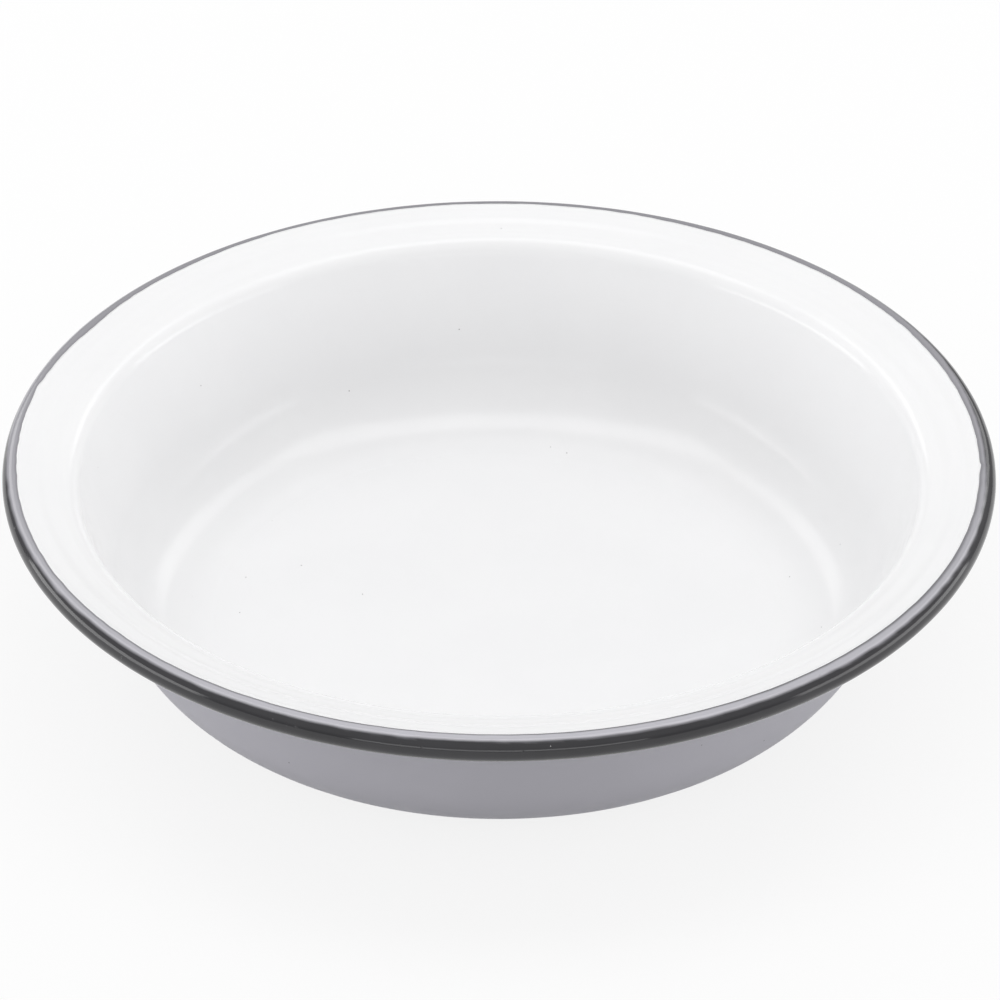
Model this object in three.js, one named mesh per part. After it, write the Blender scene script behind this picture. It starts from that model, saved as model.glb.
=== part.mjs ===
// Round enamelled steel pie dish: one drawn steel shell with a curled rim, and the enamel coats fused onto it.
// All lengths are millimetres, all angles degrees. The dish stands on z = 0 and turns about the Z axis.
import * as THREE from "three";

// Driving sizes of the dish
const RIM_DIAMETER = 240;
const DISH_HEIGHT = 52;
const BEAD_DIAMETER = 6;
const FLANGE_WIDTH = 13.9;
const FLANGE_RISE = 18;
const WALL_LEAN = 15;
const FLOOR_ROUND = 24;
const SHOULDER_ROUND = 4.7;
const CURL_SLIT = 0.7;
const PAINT_EDGE_TURN = 4;

// Build-up of the sheet, from the middle of the steel outwards on both faces
const STEEL_THICKNESS = 0.7;
const GROUND_COAT = 0.12;
const COVER_COAT = 0.2;
const BOND_LINE = 0.02;

// Fineness of the facets
const FACETS_AROUND = 48;
const FLOOR_ROUND_CHORDS = 5;
const SHOULDER_CHORDS = 3;
const CURL_OUTER_CHORDS = 3;
const CURL_UNDER_CHORDS = 6;

// Height of each skin above the middle of the steel, with a bond line under each coat
const STEEL_FACE = STEEL_THICKNESS / 2;
const GROUND_BACK = STEEL_FACE + BOND_LINE;
const GROUND_FACE = GROUND_BACK + GROUND_COAT;
const COVER_BACK = GROUND_FACE + BOND_LINE;
const FINISHED_FACE = COVER_BACK + COVER_COAT;

const radians = THREE.MathUtils.degToRad;
const degrees = THREE.MathUtils.radToDeg;

// A station is a place on the middle of the sheet with its heading, which is the angle of the sheet above level.
function station(r, z, heading) {
  return { r, z, heading };
}

// Stations along a round bend of the sheet: a positive turn bends upwards, a negative one downwards.
function bend(start, radius, turn, chords) {
  const side = Math.sign(turn);
  const centreR = start.r - side * radius * Math.sin(radians(start.heading));
  const centreZ = start.z + side * radius * Math.cos(radians(start.heading));
  const stations = [];
  for (let i = 1; i <= chords; i += 1) {
    const heading = start.heading + (turn * i) / chords;
    const r = centreR + side * radius * Math.sin(radians(heading));
    const z = centreZ - side * radius * Math.cos(radians(heading));
    stations.push(station(r, z, heading));
  }
  return stations;
}

// The middle of the sheet from the axis to the end of the curl, worked out from the rim inwards.
function sheetPath() {
  const beadRadius = BEAD_DIAMETER / 2;
  const curlRadius = beadRadius - FINISHED_FACE;
  const beadCentreR = RIM_DIAMETER / 2 - beadRadius;
  const beadCentreZ = DISH_HEIGHT - beadRadius;
  const curlStartR = beadCentreR - curlRadius * Math.sin(radians(FLANGE_RISE));
  const curlStartZ = beadCentreZ + curlRadius * Math.cos(radians(FLANGE_RISE));

  // The curl turns until its end leaves the slit open under the flange
  const slitReach = curlRadius - FINISHED_FACE - CURL_SLIT;
  const curlTurn = 360 - degrees(Math.acos(slitReach / beadRadius));

  // Corner where the flange and the wall would meet without the round between them
  const wallAngle = 90 - WALL_LEAN;
  const shoulderR = beadCentreR - FLANGE_WIDTH;
  const shoulderZ = curlStartZ - (curlStartR - shoulderR) * Math.tan(radians(FLANGE_RISE));
  const shoulderTurn = wallAngle - FLANGE_RISE;
  const shoulderReach = SHOULDER_ROUND * Math.tan(radians(shoulderTurn / 2));

  // Corner where the wall and the floor would meet
  const floorZ = FINISHED_FACE;
  const footR = shoulderR - (shoulderZ - floorZ) * Math.tan(radians(WALL_LEAN));
  const floorReach = FLOOR_ROUND * Math.tan(radians(wallAngle / 2));

  const centre = station(0, floorZ, 0);
  const floorEdge = station(footR - floorReach, floorZ, 0);
  const floorBend = bend(floorEdge, FLOOR_ROUND, wallAngle, FLOOR_ROUND_CHORDS);
  const wallTop = station(
    shoulderR - shoulderReach * Math.cos(radians(wallAngle)),
    shoulderZ - shoulderReach * Math.sin(radians(wallAngle)),
    wallAngle,
  );
  const shoulderBend = bend(wallTop, SHOULDER_ROUND, -shoulderTurn, SHOULDER_CHORDS);
  const curlStart = station(curlStartR, curlStartZ, FLANGE_RISE);
  const [paintEdge] = bend(curlStart, curlRadius, -PAINT_EDGE_TURN, 1);
  const [curlTop] = bend(paintEdge, curlRadius, PAINT_EDGE_TURN - FLANGE_RISE, 1);
  const curlOuter = bend(curlTop, curlRadius, -90, CURL_OUTER_CHORDS);
  const underTurn = curlTurn - FLANGE_RISE - 90;
  const curlUnder = bend(curlOuter.at(-1), curlRadius, -underTurn, CURL_UNDER_CHORDS);

  const bowl = [centre, floorEdge, ...floorBend, wallTop, ...shoulderBend, curlStart];
  const rim = [paintEdge, curlTop, ...curlOuter, ...curlUnder];
  return { bowl, rim };
}

// Points of the sheet's skin at a height above (or, when negative, below) the middle of the steel.
function skin(stations, height) {
  return stations.map((place) => {
    const r = place.r - height * Math.sin(radians(place.heading));
    const z = place.z + height * Math.cos(radians(place.heading));
    return new THREE.Vector2(r, z);
  });
}

// Closed ring or bowl between two skins of the same stretch of the sheet.
function layer(stations, lower, upper) {
  const outline = [...skin(stations, lower), ...skin(stations, upper).reverse()];
  const reachesAxis = outline[0].x === 0;
  if (!reachesAxis) {
    outline.push(outline[0].clone());
  }
  const geometry = new THREE.LatheGeometry(outline, FACETS_AROUND);
  geometry.rotateX(Math.PI / 2);
  return geometry;
}

function piece(name, geometry, finish) {
  const mesh = new THREE.Mesh(geometry, new THREE.MeshStandardMaterial(finish));
  mesh.name = name;
  return mesh;
}

const { bowl, rim } = sheetPath();
const lining = [...bowl, rim[0]];
const wholeSheet = [...bowl, ...rim];

const pieDish = new THREE.Group();
pieDish.name = "pie_dish";
pieDish.add(
  piece("steel_shell", layer(wholeSheet, -STEEL_FACE, STEEL_FACE), {
    color: 0x8c8e92,
    roughness: 0.42,
    metalness: 1,
  }),
  piece("inside_ground_coat", layer(wholeSheet, GROUND_BACK, GROUND_FACE), {
    color: 0x23252c,
    roughness: 0.35,
    metalness: 0,
  }),
  piece("outside_ground_coat", layer(bowl, -GROUND_FACE, -GROUND_BACK), {
    color: 0x23252c,
    roughness: 0.35,
    metalness: 0,
  }),
  piece("inside_white_enamel", layer(lining, COVER_BACK, FINISHED_FACE), {
    color: 0xf1f1f2,
    roughness: 0.12,
    metalness: 0,
  }),
  piece("outside_pale_grey_enamel", layer(bowl, -FINISHED_FACE, -COVER_BACK), {
    color: 0xbcbbc1,
    roughness: 0.16,
    metalness: 0,
  }),
  piece("rim_grey_enamel", layer(rim, COVER_BACK, FINISHED_FACE), {
    color: 0x5f5e63,
    roughness: 0.12,
    metalness: 0,
  }),
);

export default pieDish;
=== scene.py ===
"""Round enamelled steel pie dish: steel and coats as smooth meshes, their finishes, and a plain studio."""

import logging
import math
from dataclasses import dataclass, field
from enum import Enum
from typing import Callable

import bpy
from mathutils import Matrix, Vector, noise


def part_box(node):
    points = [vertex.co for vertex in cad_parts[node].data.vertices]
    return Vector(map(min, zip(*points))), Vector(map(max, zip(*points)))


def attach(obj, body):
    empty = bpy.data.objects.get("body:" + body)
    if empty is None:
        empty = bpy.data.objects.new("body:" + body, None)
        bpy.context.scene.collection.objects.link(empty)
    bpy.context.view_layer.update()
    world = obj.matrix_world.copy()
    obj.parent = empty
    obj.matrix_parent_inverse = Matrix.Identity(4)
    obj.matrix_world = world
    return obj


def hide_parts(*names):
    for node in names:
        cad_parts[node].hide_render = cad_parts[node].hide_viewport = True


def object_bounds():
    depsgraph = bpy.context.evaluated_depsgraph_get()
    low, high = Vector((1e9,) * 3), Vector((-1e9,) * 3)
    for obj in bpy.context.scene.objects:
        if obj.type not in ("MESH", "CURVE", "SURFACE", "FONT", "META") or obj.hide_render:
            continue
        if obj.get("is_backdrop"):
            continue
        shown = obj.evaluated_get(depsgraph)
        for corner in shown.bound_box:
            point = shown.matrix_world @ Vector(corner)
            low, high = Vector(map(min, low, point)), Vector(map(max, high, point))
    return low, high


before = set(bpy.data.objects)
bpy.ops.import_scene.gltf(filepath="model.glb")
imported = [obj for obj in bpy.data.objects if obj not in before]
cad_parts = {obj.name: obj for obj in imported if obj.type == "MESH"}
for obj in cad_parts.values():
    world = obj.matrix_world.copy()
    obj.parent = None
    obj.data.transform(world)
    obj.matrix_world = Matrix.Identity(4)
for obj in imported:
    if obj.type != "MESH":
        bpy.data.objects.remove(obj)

MM = 0.001
BODY = "root"
THIN_PAINT_AND_HIGHLIGHT = "thin_paint_and_highlight"

log = logging.getLogger("pie_dish")

Colour = tuple[float, float, float]
Point = tuple[float, float, float]


class Layer(Enum):
    """The layers of the dish, each with the name of its node in the frame."""

    WHITE_LINING = "inside_white_enamel"
    GREY_RIM = "rim_grey_enamel"
    PALE_OUTSIDE = "outside_pale_grey_enamel"
    INSIDE_GROUND = "inside_ground_coat"
    OUTSIDE_GROUND = "outside_ground_coat"
    STEEL = "steel_shell"


class Zone(Enum):
    """The stretches of the sheet, in order from the axis to the end of the curl."""

    FLOOR = "floor"
    FLOOR_BEND = "floor bend"
    WALL = "wall"
    SHOULDER = "shoulder"
    FLANGE = "flange"
    CURL = "curl"


@dataclass(frozen=True)
class Station:
    """A place on the middle of the sheet: radius, height and heading above level, in metres and radians."""

    r: float
    z: float
    heading: float

    def raised(self, height: float) -> tuple[float, float]:
        """Gives the radius and height of the skin that lies this far above the middle of the sheet."""
        return self.r - height * math.sin(self.heading), self.z + height * math.cos(self.heading)


@dataclass(frozen=True)
class Stretch:
    """A straight or evenly bent stretch of the sheet."""

    start: Station
    length: float
    turn: float = 0.0

    def at(self, along: float) -> Station:
        """Finds the station at a distance along the stretch.

        Args:
            along: distance from the start of the stretch, in metres.

        Returns:
            The station there.
        """
        start = self.start
        if self.turn == 0.0:
            r = start.r + along * math.cos(start.heading)
            z = start.z + along * math.sin(start.heading)
            return Station(r, z, start.heading)
        radius = self.length / self.turn
        heading = start.heading + along / radius
        r = start.r + radius * (math.sin(heading) - math.sin(start.heading))
        z = start.z - radius * (math.cos(heading) - math.cos(start.heading))
        return Station(r, z, heading)

    def end(self) -> Station:
        """Gives the last station of the stretch."""
        return self.at(self.length)


@dataclass
class SheetPath:
    """The middle of the pressed sheet, from the axis to the end of the curl, laid out from the rim."""

    rim_radius: float
    dish_height: float
    bead_radius: float
    finished_face: float
    flange_width: float = 13.9 * MM
    flange_rise: float = math.radians(18.0)
    wall_lean: float = math.radians(15.0)
    floor_round: float = 24.0 * MM
    shoulder_round: float = 4.7 * MM
    curl_slit: float = 0.7 * MM
    flange_wave_depth: float = 0.15 * MM
    flange_waves: int = 2
    flange_fade_power: int = 8
    stretches: dict[Zone, Stretch] = field(init=False)

    def __post_init__(self) -> None:
        """Lays out the stretches from the sizes."""
        curl_radius = self.bead_radius - self.finished_face
        bead_r = self.rim_radius - self.bead_radius
        bead_z = self.dish_height - self.bead_radius
        curl_r = bead_r - curl_radius * math.sin(self.flange_rise)
        curl_z = bead_z + curl_radius * math.cos(self.flange_rise)
        slit_reach = curl_radius - self.finished_face - self.curl_slit
        curl_turn = 2 * math.pi - math.acos(slit_reach / self.bead_radius)

        wall_angle = math.pi / 2 - self.wall_lean
        corner_r = bead_r - self.flange_width
        corner_z = curl_z - (curl_r - corner_r) * math.tan(self.flange_rise)
        shoulder_turn = wall_angle - self.flange_rise
        shoulder_reach = self.shoulder_round * math.tan(shoulder_turn / 2)

        foot_r = corner_r - (corner_z - self.finished_face) * math.tan(self.wall_lean)
        floor_radius = foot_r - self.floor_round * math.tan(wall_angle / 2)

        floor = Stretch(Station(0.0, self.finished_face, 0.0), floor_radius)
        floor_bend = Stretch(floor.end(), self.floor_round * wall_angle, wall_angle)
        wall_foot = floor_bend.end()
        wall_top_z = corner_z - shoulder_reach * math.sin(wall_angle)
        wall = Stretch(wall_foot, (wall_top_z - wall_foot.z) / math.sin(wall_angle))
        shoulder = Stretch(wall.end(), self.shoulder_round * shoulder_turn, -shoulder_turn)
        flange_start = shoulder.end()
        flange_length = (curl_r - flange_start.r) / math.cos(self.flange_rise)
        flange = Stretch(flange_start, flange_length)
        curl = Stretch(flange.end(), curl_radius * curl_turn, -curl_turn)
        parts = (floor, floor_bend, wall, shoulder, flange, curl)
        self.stretches = dict(zip(Zone, parts))

    def share(self, zone: Zone, part: float) -> Station:
        """Gives the station at a share, from 0 to 1, of a stretch's length."""
        stretch = self.stretches[zone]
        return stretch.at(part * stretch.length)

    def near_rim(self, past: float) -> Station:
        """Finds a station by its distance from where the flange turns into the curl.

        Args:
            past: distance along the sheet, positive onto the curl and negative back onto the flange.

        Returns:
            The station there.
        """
        flange = self.stretches[Zone.FLANGE]
        if past >= 0.0:
            return self.stretches[Zone.CURL].at(past)
        straight = flange.at(flange.length + past)
        rise = self.flange_wave(1.0 + past / flange.length)
        r, z = straight.raised(rise)
        return Station(r, z, straight.heading)

    def flange_wave(self, part: float) -> float:
        """Gives the height of the shallow rings pressed into the flange.

        Args:
            part: share of the way across the flange, from the shoulder to the curl.

        Returns:
            The height over the straight flange, fading out at both ends.
        """
        fade = 1.0 - (2.0 * part - 1.0) ** self.flange_fade_power
        return self.flange_wave_depth * fade * math.sin(2 * math.pi * self.flange_waves * part)


@dataclass(frozen=True)
class NodeBoard:
    """Lays out shader nodes in the tree of one material or of the world."""

    tree: bpy.types.NodeTree

    def add(self, kind: str, **inputs: object) -> bpy.types.Node:
        """Adds a node and fills its inputs.

        Args:
            kind: the node's type name, without the ShaderNode prefix.
            inputs: value or output socket for each input, by name with spaces as underscores.

        Returns:
            The new node.
        """
        node = self.tree.nodes.new("ShaderNode" + kind)
        for name, value in inputs.items():
            socket = node.inputs[name.replace("_", " ")]
            if isinstance(value, bpy.types.NodeSocket):
                self.tree.links.new(value, socket)
            else:
                socket.default_value = value
        return node

    def ramp(
        self, value: bpy.types.NodeSocket, low: float, high: float, start: float, end: float
    ) -> bpy.types.NodeSocket:
        """Maps a value from one range to another, clamped and smooth.

        Args:
            value: the socket to map.
            low: where the ramp starts.
            high: where the ramp ends.
            start: result at low.
            end: result at high.

        Returns:
            The output socket.
        """
        node = self.add("MapRange", Value=value, From_Min=low, From_Max=high, To_Min=start, To_Max=end)
        node.interpolation_type = "SMOOTHSTEP"
        return node.outputs["Result"]

    def blend(self, share: bpy.types.NodeSocket, first: object, second: object) -> bpy.types.NodeSocket:
        """Mixes two colours by a share.

        Args:
            share: socket of the second colour's share.
            first: colour, or socket of a colour, at share 0.
            second: colour, or socket of a colour, at share 1.

        Returns:
            The output socket of the mixed colour.
        """
        node = self.tree.nodes.new("ShaderNodeMix")
        node.data_type = "RGBA"
        self.tree.links.new(share, node.inputs["Factor"])
        for name, value in (("A", first), ("B", second)):
            socket = next(s for s in node.inputs if s.name == name and s.type == "RGBA")
            if isinstance(value, bpy.types.NodeSocket):
                self.tree.links.new(value, socket)
            else:
                socket.default_value = (*value, 1.0)
        return next(s for s in node.outputs if s.type == "RGBA")

    def noise(
        self, place: bpy.types.NodeSocket, spacing: float, detail: float, grain: float = 0.5
    ) -> bpy.types.NodeSocket:
        """Gives cloudy noise whose lumps are about this far apart, in metres."""
        node = self.add("TexNoise", Vector=place, Scale=1.0 / spacing, Detail=detail, Roughness=grain)
        return node.outputs["Fac"]

    def dots(
        self, place: bpy.types.NodeSocket, spacing: float, radius: float, core: float = 0.4
    ) -> bpy.types.NodeSocket:
        """Gives scattered round dots, 1 in the middle and 0 outside.

        Args:
            place: the coordinate socket.
            spacing: spacing of the scattered points in space, in metres.
            radius: radius of a dot, in metres.
            core: share of the radius that has the dot's full strength.

        Returns:
            The socket of the dots' strength.
        """
        cells = self.add("TexVoronoi", Vector=place, Scale=1.0 / spacing, Randomness=1.0)
        return self.ramp(cells.outputs["Distance"], core * radius / spacing, radius / spacing, 1.0, 0.0)


@dataclass(frozen=True)
class EnamelFinish:
    """A glossy enamel: its colour, clouds, speckling (on the rim, pale dots that are partly dust and partly
    painted glints), gloss and the peel of its fired surface.
    """

    name: str
    colour: Colour
    cloud_colour: Colour
    speck_and_glint_colour: Colour
    speck_and_glint_spacing: float
    speck_and_glint_radius: float
    roughness: float
    roughness_spread: float
    peel_depth: float
    pimple_spacing: float
    pimple_radius: float
    pimple_height: float
    # Pale colour where the paint lies thin; on the rim it also carries a painted highlight.
    thin_paint_and_highlight_colour: Colour | None = None
    shine: float = 0.5
    cloud_spacing: float = 30.0 * MM
    cloud_detail: float = 3.0
    cloud_range: tuple[float, float] = (0.35, 0.65)
    haze_share: float = 0.25
    haze_detail: float = 4.0
    haze_range: tuple[float, float] = (0.3, 0.7)
    peel_spacing: float = 2.2 * MM
    peel_detail: float = 1.0
    refraction: float = 1.52

    def material(self) -> bpy.types.Material:
        """Builds the enamel's material.

        Returns:
            The new material.
        """
        material = bpy.data.materials.new(self.name)
        material.use_nodes = True
        board = NodeBoard(material.node_tree)
        shader = material.node_tree.nodes["Principled BSDF"]
        place = board.add("TexCoord").outputs["Object"]
        lumps = board.noise(place, self.cloud_spacing, self.cloud_detail)
        cloud = board.ramp(lumps, *self.cloud_range, 0.0, 1.0)
        colour = board.blend(cloud, self.colour, self.cloud_colour)
        # The pale band read from the mesh attribute is partly thin paint and partly painted highlight.
        if self.thin_paint_and_highlight_colour is not None:
            thin = board.add("Attribute")
            thin.attribute_name = THIN_PAINT_AND_HIGHLIGHT
            colour = board.blend(thin.outputs["Fac"], colour, self.thin_paint_and_highlight_colour)
        specks_and_glints = board.dots(place, self.speck_and_glint_spacing, self.speck_and_glint_radius)
        colour = board.blend(specks_and_glints, colour, self.speck_and_glint_colour)
        haze = board.noise(place, self.cloud_spacing * self.haze_share, self.haze_detail)
        low = self.roughness - self.roughness_spread
        gloss = board.ramp(haze, *self.haze_range, low, self.roughness + self.roughness_spread)
        peel = board.noise(place, self.peel_spacing, self.peel_detail)
        rippled = board.add("Bump", Height=peel, Distance=self.peel_depth, Strength=1.0)
        pimples = board.dots(place, self.pimple_spacing, self.pimple_radius)
        pimpled = board.add(
            "Bump",
            Height=pimples,
            Distance=self.pimple_height,
            Strength=1.0,
            Normal=rippled.outputs["Normal"],
        )
        links = material.node_tree.links
        links.new(colour, shader.inputs["Base Color"])
        links.new(gloss, shader.inputs["Roughness"])
        links.new(pimpled.outputs["Normal"], shader.inputs["Normal"])
        shader.inputs["IOR"].default_value = self.refraction
        shader.inputs["Specular IOR Level"].default_value = self.shine
        return material


@dataclass(frozen=True)
class SteelFinish:
    """Drawn sheet steel with fine draw lines, hidden under the enamel."""

    name: str = "drawn_steel"
    colour: Colour = (0.52, 0.53, 0.54)
    worn_colour: Colour = (0.44, 0.45, 0.47)
    line_spacing: float = 0.8 * MM
    line_detail: float = 2.0
    line_range: tuple[float, float] = (0.3, 0.7)
    roughness_range: tuple[float, float] = (0.32, 0.48)

    def material(self) -> bpy.types.Material:
        """Builds the steel's material.

        Returns:
            The new material.
        """
        material = bpy.data.materials.new(self.name)
        material.use_nodes = True
        board = NodeBoard(material.node_tree)
        shader = material.node_tree.nodes["Principled BSDF"]
        place = board.add("TexCoord").outputs["Object"]
        lines = board.noise(place, self.line_spacing, self.line_detail)
        colour = board.blend(lines, self.colour, self.worn_colour)
        gloss = board.ramp(lines, *self.line_range, *self.roughness_range)
        links = material.node_tree.links
        links.new(colour, shader.inputs["Base Color"])
        links.new(gloss, shader.inputs["Roughness"])
        shader.inputs["Metallic"].default_value = 1.0
        return material


WHITE_ENAMEL = EnamelFinish(
    name="white_enamel",
    colour=(0.932, 0.932, 0.938),
    cloud_colour=(0.922, 0.922, 0.929),
    speck_and_glint_colour=(0.22, 0.21, 0.21),
    speck_and_glint_spacing=9.0 * MM,
    speck_and_glint_radius=0.22 * MM,
    roughness=0.18,
    roughness_spread=0.02,
    peel_depth=0.002 * MM,
    pimple_spacing=14.0 * MM,
    pimple_radius=0.5 * MM,
    pimple_height=0.03 * MM,
    shine=0.42,
)

RIM_ENAMEL = EnamelFinish(
    name="rim_enamel",
    colour=(0.036, 0.0352, 0.0395),
    cloud_colour=(0.031, 0.0303, 0.034),
    # Pale dots on the rim: partly dust, partly painted glints.
    speck_and_glint_colour=(0.7, 0.7, 0.7),
    speck_and_glint_spacing=5.0 * MM,
    speck_and_glint_radius=0.16 * MM,
    roughness=0.1,
    roughness_spread=0.02,
    peel_depth=0.005 * MM,
    pimple_spacing=4.0 * MM,
    pimple_radius=0.35 * MM,
    pimple_height=0.05 * MM,
    # Pale lilac grey of the band on top of the curl: partly thin paint, partly painted highlight.
    thin_paint_and_highlight_colour=(0.53, 0.522, 0.565),
    cloud_spacing=12.0 * MM,
)

# Partly painted shade: the outer coat is set pale grey, darker than the white lining, so that the outer
# wall shows the shade it stands in under the flange.
PALE_GREY_AND_SHADE_ENAMEL = EnamelFinish(
    name="pale_grey_enamel",
    colour=(0.62, 0.611, 0.665),
    cloud_colour=(0.604, 0.596, 0.648),
    speck_and_glint_colour=(0.12, 0.118, 0.122),
    speck_and_glint_spacing=8.0 * MM,
    speck_and_glint_radius=0.24 * MM,
    roughness=0.42,
    roughness_spread=0.04,
    peel_depth=0.006 * MM,
    pimple_spacing=12.0 * MM,
    pimple_radius=0.5 * MM,
    pimple_height=0.03 * MM,
    shine=0.06,
)

GROUND_ENAMEL = EnamelFinish(
    name="ground_enamel",
    colour=(0.018, 0.019, 0.026),
    cloud_colour=(0.024, 0.025, 0.034),
    speck_and_glint_colour=(0.05, 0.05, 0.06),
    speck_and_glint_spacing=6.0 * MM,
    speck_and_glint_radius=0.3 * MM,
    roughness=0.34,
    roughness_spread=0.05,
    peel_depth=0.008 * MM,
    pimple_spacing=6.0 * MM,
    pimple_radius=0.4 * MM,
    pimple_height=0.03 * MM,
)


@dataclass
class TurnedMesh:
    """A closed mesh that is turned about the dish's axis, row by row, with its own shape at each angle."""

    name: str
    segments: int
    vertices: list[Point] = field(default_factory=list)
    faces: list[tuple[int, ...]] = field(default_factory=list)

    def angle(self, k: int) -> float:
        """Gives the angle about the axis of the ring's vertex number k, 0 at the front."""
        return 2 * math.pi * k / self.segments

    def ring(self, place: Callable[[float], tuple[float, float]]) -> list[int]:
        """Adds one ring of vertices.

        Args:
            place: gives radius and height at an angle about the axis.

        Returns:
            The indices of the ring.
        """
        first = len(self.vertices)
        for k in range(self.segments):
            angle = self.angle(k)
            r, z = place(angle)
            self.vertices.append((r * math.sin(angle), -r * math.cos(angle), z))
        return list(range(first, first + self.segments))

    def pole(self, z: float) -> int:
        """Adds one vertex on the axis and gives its index."""
        self.vertices.append((0.0, 0.0, z))
        return len(self.vertices) - 1

    def bands(self, rings: list[list[int]]) -> None:
        """Joins each ring with the next by quads whose front is up for rings that run outwards.

        Args:
            rings: the rings' indices, in the order in which they are joined.
        """
        for inner, outer in zip(rings, rings[1:]):
            for k in range(self.segments):
                n = (k + 1) % self.segments
                self.faces.append((inner[k], outer[k], outer[n], inner[n]))

    def fan(self, pole: int, ring: list[int], facing_up: bool) -> None:
        """Closes a ring with triangles to a vertex on the axis.

        Args:
            pole: index of the vertex on the axis.
            ring: indices of the ring.
            facing_up: whether the triangles' front is up.
        """
        for k in range(self.segments):
            corners = (pole, ring[k], ring[(k + 1) % self.segments])
            self.faces.append(corners if facing_up else corners[::-1])

    def make(self) -> bpy.types.Object:
        """Makes the object, smooth shaded, and links it to the scene.

        Returns:
            The new object.
        """
        mesh = bpy.data.meshes.new(self.name)
        mesh.from_pydata(self.vertices, [], self.faces)
        mesh.validate()
        mesh.shade_smooth()
        piece = bpy.data.objects.new(self.name, mesh)
        bpy.context.scene.collection.objects.link(piece)
        return piece


@dataclass(frozen=True)
class Waviness:
    """The slight unevenness of a fired coat, as a height over the ideal surface."""

    depth: float
    spacing: float
    seed: float

    def at(self, angle: float, station: Station) -> float:
        """Gives the height of the coat over its ideal surface.

        Args:
            angle: angle about the axis, in radians.
            station: place on the sheet.

        Returns:
            The height, in metres.
        """
        spot = Vector((station.r * math.sin(angle), -station.r * math.cos(angle), station.z))
        return self.depth * noise.noise(spot / self.spacing + Vector((self.seed,) * 3))


@dataclass(frozen=True)
class Touch:
    """A place round the rim where the brush lifted or pressed: its angle, spread and effect."""

    angle: float
    spread: float
    change: float

    def at(self, angle: float) -> float:
        """Gives the touch's effect at an angle, fading out to both sides."""
        off = math.remainder(angle - math.radians(self.angle), 2 * math.pi) / math.radians(self.spread)
        return self.change * math.exp(-off * off)


@dataclass(frozen=True)
class BrushedLine:
    """A line brushed round the rim, as a distance past the start of the curl at each angle."""

    mean: float
    swing: float
    swing_angle: float
    tremble: float
    tremble_spacing: float
    drift: float
    drift_spacing: float
    seed: float
    touches: tuple[Touch, ...] = ()

    def past(self, angle: float, rim_radius: float) -> float:
        """Gives the line's distance past the start of the curl.

        Args:
            angle: angle about the axis, in radians, with 0 at the front.
            rim_radius: outer radius of the dish.

        Returns:
            The distance along the sheet, negative on the flange.
        """
        spot = Vector((math.sin(angle), -math.cos(angle), self.seed)) * rim_radius
        swing = self.swing * math.cos(angle - math.radians(self.swing_angle))
        drift = self.drift * noise.noise(spot / self.drift_spacing)
        tremble = self.tremble * noise.noise(spot / self.tremble_spacing)
        return self.mean + swing + drift + tremble + sum(touch.at(angle) for touch in self.touches)


@dataclass(frozen=True)
class RimBrushing:
    """How the grey was brushed round the rim: its inner edge, and a pale band along the top of the curl,
    partly thinner paint and partly a painted highlight.
    """

    edge: BrushedLine = BrushedLine(
        mean=0.12 * MM,
        swing=0.36 * MM,
        swing_angle=-135.0,
        tremble=0.13 * MM,
        tremble_spacing=3.5 * MM,
        drift=0.2 * MM,
        drift_spacing=40.0 * MM,
        seed=0.3,
        touches=(
            Touch(-132.0, 22.0, -0.25 * MM),
            Touch(-117.0, 4.0, -0.4 * MM),
            Touch(-102.0, 1.2, 0.25 * MM),
            Touch(-35.0, 22.0, 0.3 * MM),
            Touch(85.0, 0.8, 0.3 * MM),
        ),
    )
    band_end: BrushedLine = BrushedLine(
        mean=1.9 * MM,
        swing=0.0,
        swing_angle=0.0,
        tremble=0.16 * MM,
        tremble_spacing=4.0 * MM,
        drift=0.12 * MM,
        drift_spacing=25.0 * MM,
        seed=2.3,
        touches=(
            Touch(0.0, 13.0, -0.2 * MM),
            Touch(92.0, 22.0, -0.95 * MM),
            Touch(-80.0, 9.0, -0.25 * MM),
            Touch(-118.0, 34.0, 1.4 * MM),
        ),
    )
    # The pale band is strongest at the front, where the top of the curl holds the highlight: painted
    # highlight on the thin paint.
    band_strength: tuple[Touch, ...] = (Touch(0.0, 95.0, 0.56),)
    band_base: float = 0.44
    band_fade: float = 0.3 * MM
    pool_width: float = 0.4 * MM
    pool_fade_power: int = 4
    pool_widening: Touch = Touch(50.0, 45.0, 0.35 * MM)
    pool_strength: tuple[Touch, ...] = (Touch(0.0, 85.0, 0.75), Touch(55.0, 35.0, 0.2))

    def thin(self, past: float, angle: float, rim_radius: float) -> float:
        """Gives how pale the paint shows at a place on the rim: thin paint, with a painted highlight along
        the top of the curl.

        Args:
            past: distance past the start of the curl.
            angle: angle about the axis, in radians, with 0 at the front.
            rim_radius: outer radius of the dish.

        Returns:
            A share from 0, the full coat, to 1, the thinnest.
        """
        pool_width = self.pool_width + self.pool_widening.at(angle)
        from_edge = max(0.0, past - self.edge.past(angle, rim_radius)) / pool_width
        pool = sum(touch.at(angle) for touch in self.pool_strength)
        pooled = 1.0 - pool * math.exp(-(from_edge**self.pool_fade_power))
        into = (self.band_end.past(angle, rim_radius) - past) / self.band_fade
        band = min(1.0, max(0.0, 0.5 + 0.5 * into))
        strength = self.band_base + sum(touch.at(angle) for touch in self.band_strength)
        return pooled * band * min(1.0, strength)


Row = Callable[[float], Station]


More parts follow.
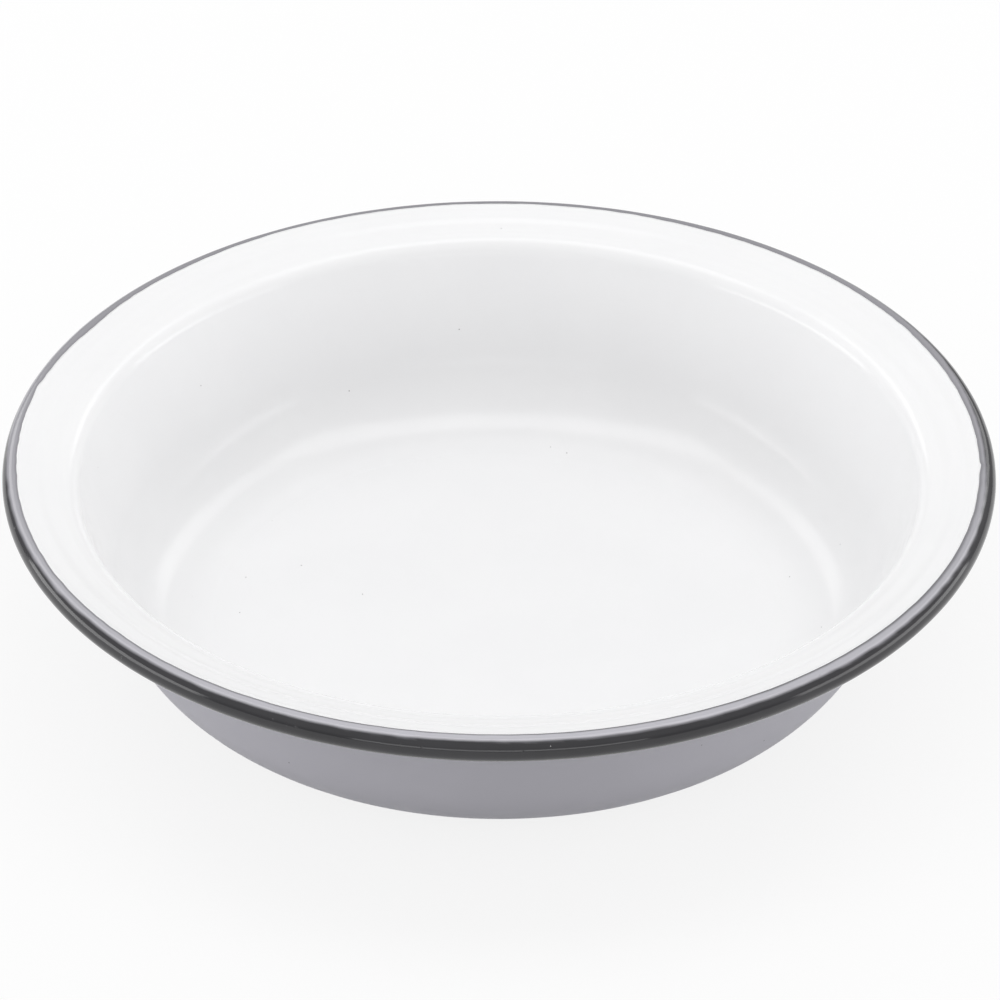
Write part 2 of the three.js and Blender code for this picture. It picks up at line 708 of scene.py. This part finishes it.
@dataclass
class SheetLayer:
    """One layer of the dish between two skins of the sheet: what the steel and all its coats share."""

    path: SheetPath
    layer: Layer
    slot: str
    finish: EnamelFinish | SteelFinish
    lower: float
    upper: float
    segments: int = 512
    bowl_rows: dict[Zone, int] = field(
        default_factory=lambda: {Zone.FLOOR: 1, Zone.FLOOR_BEND: 24, Zone.WALL: 1, Zone.SHOULDER: 10}
    )
    flange_rows: int = 12
    curl_rows: int = 40

    def rows(self) -> list[Row]:
        """Lists the rows of the layer outwards; the base layer covers the whole sheet."""
        return [*self.over_bowl(), *self.over_flange(lambda angle: 0.0), *self.over_curl(lambda angle: 0.0)]

    def over_bowl(self) -> list[Row]:
        """Lists the rows from the first ring of the floor to the end of the shoulder.

        Returns:
            The rows, the same at each angle.
        """
        stations = []
        for zone, count in self.bowl_rows.items():
            stations += [self.path.share(zone, (k + 1) / count) for k in range(count)]
        return [lambda angle, at=station: at for station in stations]

    def over_flange(self, end: Callable[[float], float]) -> list[Row]:
        """Lists the rows across the flange.

        Args:
            end: distance past the start of the curl at which the last row lies, at each angle.

        Returns:
            The rows, without the one at the shoulder's end.
        """
        length = self.path.stretches[Zone.FLANGE].length
        shares = [(k + 1) / self.flange_rows for k in range(self.flange_rows)]
        return [
            lambda angle, part=share: self.path.near_rim(-length + part * (length + end(angle)))
            for share in shares
        ]

    def over_curl(self, start: Callable[[float], float]) -> list[Row]:
        """Lists the rows round the curl, from just past a start to the end of the curl.

        Args:
            start: distance past the start of the curl from which the rows go on, at each angle.

        Returns:
            The rows, without the one at the start.
        """
        length = self.path.stretches[Zone.CURL].length
        shares = [(k + 1) / self.curl_rows for k in range(self.curl_rows)]
        return [
            lambda angle, part=share: self.path.near_rim(start(angle) + part * (length - start(angle)))
            for share in shares
        ]

    def upper_height(self, angle: float, station: Station, row: int) -> float:
        """Gives the height of the upper skin; plain layers have it even all over."""
        return self.upper

    def lower_height(self, angle: float, station: Station, row: int) -> float:
        """Gives the height of the lower skin; plain layers have it even all over."""
        return self.lower

    def build(self, name: str) -> None:
        """Builds the layer as a closed mesh and dresses it.

        Args:
            name: name of the piece.
        """
        solid = TurnedMesh(name, self.segments)
        upper, lower = [], []
        for index, row in enumerate(self.rows()):
            for rings, height in ((upper, self.upper_height), (lower, self.lower_height)):

                def place(angle: float) -> tuple[float, float]:
                    """Gives radius and height of the skin in this row."""
                    station = row(angle)
                    return station.raised(height(angle, station, index))

                rings.append(solid.ring(place))
        solid.bands([*upper, *lower[::-1]])
        self.close(solid, upper, lower)
        piece = solid.make()
        self.mark(piece, solid, upper)
        self.dress(piece)

    def close(self, solid: TurnedMesh, upper: list[list[int]], lower: list[list[int]]) -> None:
        """Closes the layer at its inner end, here with two fans on the axis.

        Args:
            solid: the layer's mesh so far.
            upper: rings of the upper skin.
            lower: rings of the lower skin.
        """
        middle = self.path.share(Zone.FLOOR, 0.0)
        solid.fan(solid.pole(middle.z + self.upper_height(0.0, middle, 0)), upper[0], True)
        solid.fan(solid.pole(middle.z + self.lower_height(0.0, middle, 0)), lower[0], False)

    def mark(self, piece: bpy.types.Object, solid: TurnedMesh, upper: list[list[int]]) -> None:
        """Marks vertices for the finish; plain layers need no mark."""

    def dress(self, piece: bpy.types.Object) -> None:
        """Gives a piece its finish and sets it in the frame in place of its node.

        Args:
            piece: the layer's piece.
        """
        piece.data.materials.append(self.finish.material())
        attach(piece, BODY)
        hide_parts(self.layer.value)
        log.info("%s: %d faces", piece.name, len(piece.data.polygons))


def shown_bowl_rows() -> dict[Zone, int]:
    """Gives the finer row counts of a bowl coat that shows."""
    return {Zone.FLOOR: 8, Zone.FLOOR_BEND: 24, Zone.WALL: 8, Zone.SHOULDER: 20}


@dataclass
class Lining(SheetLayer):
    """The white cover coat inside the dish, up to the edge of the rim's paint."""

    edge: Callable[[float], float] = lambda angle: 0.0
    wave: Waviness = Waviness(0.025 * MM, 14.0 * MM, 3.1)
    bowl_rows: dict[Zone, int] = field(default_factory=shown_bowl_rows)
    flange_rows: int = 20
    ring_inset: float = 1.2 * MM
    ring_width: float = 0.45 * MM
    ring_height: float = 0.03 * MM
    ring_rows: int = 10

    def rows(self) -> list[Row]:
        """Lists the rows from the floor to the paint's edge, with more of them over the ring in the floor.

        Returns:
            The rows, with the last one along the paint's edge.
        """
        floor = self.path.stretches[Zone.FLOOR]
        bowl = self.over_bowl()
        before_ring = self.bowl_rows[Zone.FLOOR] - 1
        outwards = [
            floor.length - 2 * self.ring_inset * (1 - k / self.ring_rows) for k in range(self.ring_rows)
        ]
        ring = [lambda angle, at=floor.at(along): at for along in outwards]
        return [*bowl[:before_ring], *ring, *bowl[before_ring:], *self.over_flange(self.edge)]

    def floor_ring(self, station: Station) -> float:
        """Gives the height of the faint ring that the press left round the edge of the floor."""
        off = (station.r - self.path.stretches[Zone.FLOOR].length + self.ring_inset) / self.ring_width
        return self.ring_height * math.exp(-off * off)

    def upper_height(self, angle: float, station: Station, row: int) -> float:
        """Gives the height of the shown skin, with its waviness and the ring in the floor."""
        return self.upper + self.wave.at(angle, station) + self.floor_ring(station)


@dataclass
class Underside(SheetLayer):
    """A coat under the dish, from the middle of the base to the slit of the curl."""

    def rows(self) -> list[Row]:
        """Lists the rows from the base to the start of the curl."""
        return [*self.over_bowl(), *self.over_flange(lambda angle: 0.0)]


@dataclass
class ShownUnderside(Underside):
    """The pale grey cover coat on the base, the outer wall and the underside of the flange; its grey is
    partly the coat's colour and partly painted shade, set darker than the white lining for the shade the
    outer wall stands in.
    """

    wave: Waviness = Waviness(0.03 * MM, 12.0 * MM, 7.7)
    bowl_rows: dict[Zone, int] = field(default_factory=shown_bowl_rows)
    flange_rows: int = 20
    stand_flat: float = 0.5 * MM

    def lower_height(self, angle: float, station: Station, row: int) -> float:
        """Gives the height of the shown skin, with its waviness where it doesn't stand on the floor.

        Args:
            angle: angle about the axis, in radians.
            station: place on the sheet.
            row: number of the row.

        Returns:
            The height, in metres.
        """
        clear = station.z + self.lower
        lift = min(1.0, max(0.0, clear / self.stand_flat))
        return self.lower - lift * self.wave.at(angle, station)


@dataclass
class RimCoat(SheetLayer):
    """The brushed grey coat round the curl, from its wavy inner edge to the end of the curl."""

    brushing: RimBrushing = RimBrushing()
    wave: Waviness = Waviness(0.03 * MM, 7.0 * MM, 1.9)
    lip_height: float = 0.04 * MM
    lip_rows: tuple[float, ...] = (0.0, 0.006, 0.014, 0.024, 0.036)
    band_share: float = 0.18
    band_rows: int = 16
    curl_rows: int = 30

    def edge(self, angle: float) -> float:
        """Gives the paint edge's distance past the start of the curl at an angle."""
        return self.brushing.edge.past(angle, self.path.rim_radius)

    def shares(self) -> list[float]:
        """Lists where the rows lie, closer together at the paint's edge and in its pale band of thin paint
        and painted highlight.

        Returns:
            A share of the coat's width for each row.
        """
        shares = list(self.lip_rows)
        for end, count in ((self.band_share, self.band_rows), (1.0, self.curl_rows)):
            start = shares[-1]
            shares += [start + (end - start) * (k + 1) / count for k in range(count)]
        return shares

    def past(self, share: float, angle: float) -> float:
        """Gives the distance past the start of the curl at a share of the coat's width."""
        length = self.path.stretches[Zone.CURL].length
        return self.edge(angle) + share * (length - self.edge(angle))

    def rows(self) -> list[Row]:
        """Lists the rows from the paint's edge to the end of the curl."""
        shares = self.shares()
        return [lambda angle, part=share: self.path.near_rim(self.past(part, angle)) for share in shares]

    def upper_height(self, angle: float, station: Station, row: int) -> float:
        """Gives the height of the shown skin: a soft lip at the paint's edge, and waviness.

        Args:
            angle: angle about the axis, in radians.
            station: place on the sheet.
            row: number of the row.

        Returns:
            The height, in metres.
        """
        share = min(1.0, self.shares()[row] / self.lip_rows[-1])
        lip = self.lip_height * math.sqrt(share * (2.0 - share))
        return self.upper + lip + self.wave.at(angle, station)

    def close(self, solid: TurnedMesh, upper: list[list[int]], lower: list[list[int]]) -> None:
        """Closes the ring along the paint's edge."""
        solid.bands([lower[0], upper[0]])

    def mark(self, piece: bpy.types.Object, solid: TurnedMesh, upper: list[list[int]]) -> None:
        """Marks how thin the paint lies, with the painted highlight along the top of the curl.

        Args:
            piece: the coat's piece.
            solid: the coat's mesh.
            upper: rings of the upper skin.
        """
        thin = piece.data.attributes.new(THIN_PAINT_AND_HIGHLIGHT, "FLOAT", "POINT")
        for share, ring in zip(self.shares(), upper):
            for k, index in enumerate(ring):
                angle = solid.angle(k)
                value = self.brushing.thin(self.past(share, angle), angle, self.path.rim_radius)
                thin.data[index].value = value


@dataclass
class PieDish:
    """The whole dish: the drawn steel, its two ground coats and its three cover coats."""

    path: SheetPath
    cover_coat: float
    ground_coat: float = 0.12 * MM
    bond_line: float = 0.02 * MM

    @classmethod
    def from_frame(cls, cover_coat: float = 0.2 * MM) -> "PieDish":
        """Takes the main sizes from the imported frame.

        Args:
            cover_coat: thickness of a cover coat.

        Returns:
            The dish, ready to build.
        """
        low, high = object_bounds()
        rim_low, rim_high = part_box(Layer.GREY_RIM.value)
        lining_low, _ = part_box(Layer.WHITE_LINING.value)
        path = SheetPath(
            rim_radius=(high.x - low.x) / 2,
            dish_height=high.z - low.z,
            bead_radius=(rim_high.z - rim_low.z) / 2,
            finished_face=(lining_low.z + cover_coat - low.z) / 2,
        )
        return cls(path, cover_coat)

    def build(self) -> None:
        """Builds and dresses the layers from the steel outwards."""
        path = self.path
        finished = path.finished_face
        cover_back = finished - self.cover_coat
        ground = cover_back - self.bond_line
        ground_back = ground - self.ground_coat
        steel = ground_back - self.bond_line
        pressing = SheetLayer(path, Layer.STEEL, "steel", SteelFinish(), -steel, steel)
        pressing.build("steel_pressing")
        inside = SheetLayer(path, Layer.INSIDE_GROUND, "ground_enamel", GROUND_ENAMEL, ground_back, ground)
        inside.build("ground_coat_inside")
        under = Underside(path, Layer.OUTSIDE_GROUND, "ground_enamel", GROUND_ENAMEL, -ground, -ground_back)
        under.build("ground_coat_outside")
        rim = RimCoat(path, Layer.GREY_RIM, "rim_enamel", RIM_ENAMEL, cover_back, finished)
        lining = Lining(
            path, Layer.WHITE_LINING, "white_enamel", WHITE_ENAMEL, cover_back, finished, edge=rim.edge
        )
        lining.build("white_lining")
        outside = ShownUnderside(
            path, Layer.PALE_OUTSIDE, "pale_grey_enamel", PALE_GREY_AND_SHADE_ENAMEL, -finished, -cover_back
        )
        outside.build("pale_grey_and_shade_outside")
        rim.build("grey_rim")


@dataclass(frozen=True)
class Softbox:
    """One soft rectangular studio lamp that points at a spot, turned about its own axis by its roll."""

    name: str
    place: Point
    target: Point
    width: float
    depth: float
    brightness: float
    roll: float = 0.0

    def build(self) -> None:
        """Makes the lamp, with power for its size and the brightness of its face, and links it."""
        lamp = bpy.data.lights.new(self.name, "AREA")
        lamp.shape = "RECTANGLE"
        lamp.size = self.width
        lamp.size_y = self.depth
        lamp.energy = self.brightness * math.pi * self.width * self.depth
        holder = bpy.data.objects.new(self.name, lamp)
        aim = Vector(self.target) - Vector(self.place)
        holder.location = self.place
        turn = aim.to_track_quat("-Z", "Y").to_matrix() @ Matrix.Rotation(self.roll, 3, "Z")
        holder.rotation_euler = turn.to_euler()
        bpy.context.scene.collection.objects.link(holder)


@dataclass
class Studio:
    """A plain pale floor, soft light and the camera."""

    floor_size: float = 6.0
    floor_drop: float = 0.02 * MM
    floor_colour: Colour = (0.93, 0.93, 0.93)
    bounce_colour: Colour = (0.45, 0.45, 0.45)
    shadow_share: float = 0.16
    horizon_level: float = 0.38
    dome_level: float = 0.675
    dome_start: float = math.radians(6.0)
    dome_full: float = math.radians(30.0)
    lamp_target: Point = (0.0, 0.0, 0.05)
    back_panel_roll: float = math.radians(31.0)
    camera_rise: float = math.radians(34.097)
    camera_distance: float = 0.9
    camera_aim: Point = (0.00023, 0.0, 0.0346)
    camera_roll: float = math.radians(0.142)
    focal_pixels: float = 3669.4
    image_pixels: float = 1000.0
    sensor_width: float = 36.0
    nearest_seen: float = 0.01
    farthest_seen: float = 50.0

    def build(self) -> None:
        """Makes the floor, the light and the camera."""
        self.build_floor()
        self.build_light()
        self.build_camera()
        bpy.context.scene.view_settings.view_transform = "Standard"

    def build_floor(self) -> None:
        """Makes the pale floor that the dish stands on."""
        half, level = self.floor_size / 2, -self.floor_drop
        mesh = bpy.data.meshes.new("studio_floor")
        corners = [(-half, -half, level), (half, -half, level), (half, half, level), (-half, half, level)]
        mesh.from_pydata(corners, [], [(0, 1, 2, 3)])
        floor = bpy.data.objects.new("studio_floor", mesh)
        bpy.context.scene.collection.objects.link(floor)
        mesh.materials.append(self.floor_material())
        floor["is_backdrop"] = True

    def floor_material(self) -> bpy.types.Material:
        """Builds the floor's finish: white where it is seen, with part of the dish's shadow kept on it.

        Returns:
            The new material.
        """
        material = bpy.data.materials.new("studio_floor")
        material.use_nodes = True
        board = NodeBoard(material.node_tree)
        rays = board.add("LightPath")
        seen = rays.outputs["Is Camera Ray"]
        for name in ("Is Glossy Ray", "Is Transmission Ray"):
            both = board.add("Math")
            both.operation = "MAXIMUM"
            board.tree.links.new(seen, both.inputs[0])
            board.tree.links.new(rays.outputs[name], both.inputs[1])
            seen = both.outputs["Value"]
        white = board.add("Emission", Color=(1.0, 1.0, 1.0, 1.0), Strength=1.0)
        shadowed = board.add("BsdfDiffuse", Color=(*self.floor_colour, 1.0))
        bounce = board.add("BsdfDiffuse", Color=(*self.bounce_colour, 1.0))
        shown = board.add("MixShader", Fac=self.shadow_share)
        board.tree.links.new(white.outputs[0], shown.inputs[1])
        board.tree.links.new(shadowed.outputs[0], shown.inputs[2])
        surface = board.add("MixShader", Fac=seen)
        board.tree.links.new(bounce.outputs[0], surface.inputs[1])
        board.tree.links.new(shown.outputs[0], surface.inputs[2])
        output = next(node for node in board.tree.nodes if node.type == "OUTPUT_MATERIAL")
        board.tree.links.new(surface.outputs[0], output.inputs["Surface"])
        board.tree.nodes.remove(board.tree.nodes["Principled BSDF"])
        return material

    def build_light(self) -> None:
        """Makes the light dome, dimmer towards the horizon, and the soft lamps."""
        world = bpy.data.worlds.new("studio_world")
        world.use_nodes = True
        board = NodeBoard(world.node_tree)
        way = board.add("TexCoord").outputs["Generated"]
        height = board.add("SeparateXYZ", Vector=way).outputs["Z"]
        start, full = math.sin(self.dome_start), math.sin(self.dome_full)
        level = board.ramp(height, start, full, self.horizon_level, self.dome_level)
        sky = world.node_tree.nodes["Background"]
        sky.inputs["Color"].default_value = (1.0, 1.0, 1.0, 1.0)
        world.node_tree.links.new(level, sky.inputs["Strength"])
        bpy.context.scene.world = world
        for lamp in self.lamps():
            lamp.build()

    def lamps(self) -> tuple[Softbox, ...]:
        """Lists the soft lamps: one overhead, one at each side, one in front and two at the back.

        Returns:
            The lamps, ready to build.
        """
        dish, roll = self.lamp_target, self.back_panel_roll
        return (
            Softbox(
                "overhead_panel", (0.0, 0.13, 1.2), (0.0, 0.13, 0.0), width=1.7, depth=0.46, brightness=1.75
            ),
            Softbox("left_softbox", (-1.3, -0.05, 0.21), dish, width=1.3, depth=0.4, brightness=2.6),
            Softbox("right_softbox", (1.3, -0.05, 0.21), dish, width=1.3, depth=0.4, brightness=2.2),
            Softbox("front_card", (0.0, -1.35, 0.25), dish, width=1.5, depth=0.24, brightness=1.8),
            Softbox(
                "back_left_panel",
                (-0.73, 0.86, 0.83),
                dish,
                width=0.3,
                depth=1.15,
                brightness=1.4,
                roll=-roll,
            ),
            Softbox(
                "back_right_panel",
                (0.73, 0.86, 0.83),
                dish,
                width=0.3,
                depth=1.15,
                brightness=1.4,
                roll=roll,
            ),
        )

    def build_camera(self) -> None:
        """Makes the camera at the picture's angle."""
        lens = bpy.data.cameras.new("studio_camera")
        lens.sensor_width = self.sensor_width
        lens.lens = self.focal_pixels / self.image_pixels * self.sensor_width
        lens.clip_start = self.nearest_seen
        lens.clip_end = self.farthest_seen
        camera = bpy.data.objects.new("studio_camera", lens)
        back = Vector((0.0, -math.cos(self.camera_rise), math.sin(self.camera_rise)))
        place = Vector(self.camera_aim) + back * self.camera_distance
        turn = (-back).to_track_quat("-Z", "Y").to_matrix().to_4x4()
        roll = Matrix.Rotation(self.camera_roll, 4, "Z")
        camera.matrix_world = Matrix.Translation(place) @ turn @ roll
        bpy.context.scene.collection.objects.link(camera)
        bpy.context.scene.camera = camera


def main() -> None:
    """Builds the dish, then the studio."""
    logging.basicConfig(level=logging.INFO, format="%(name)s: %(message)s")
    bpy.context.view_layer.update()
    PieDish.from_frame().build()
    Studio().build()


if __name__ == "__main__":
    main()
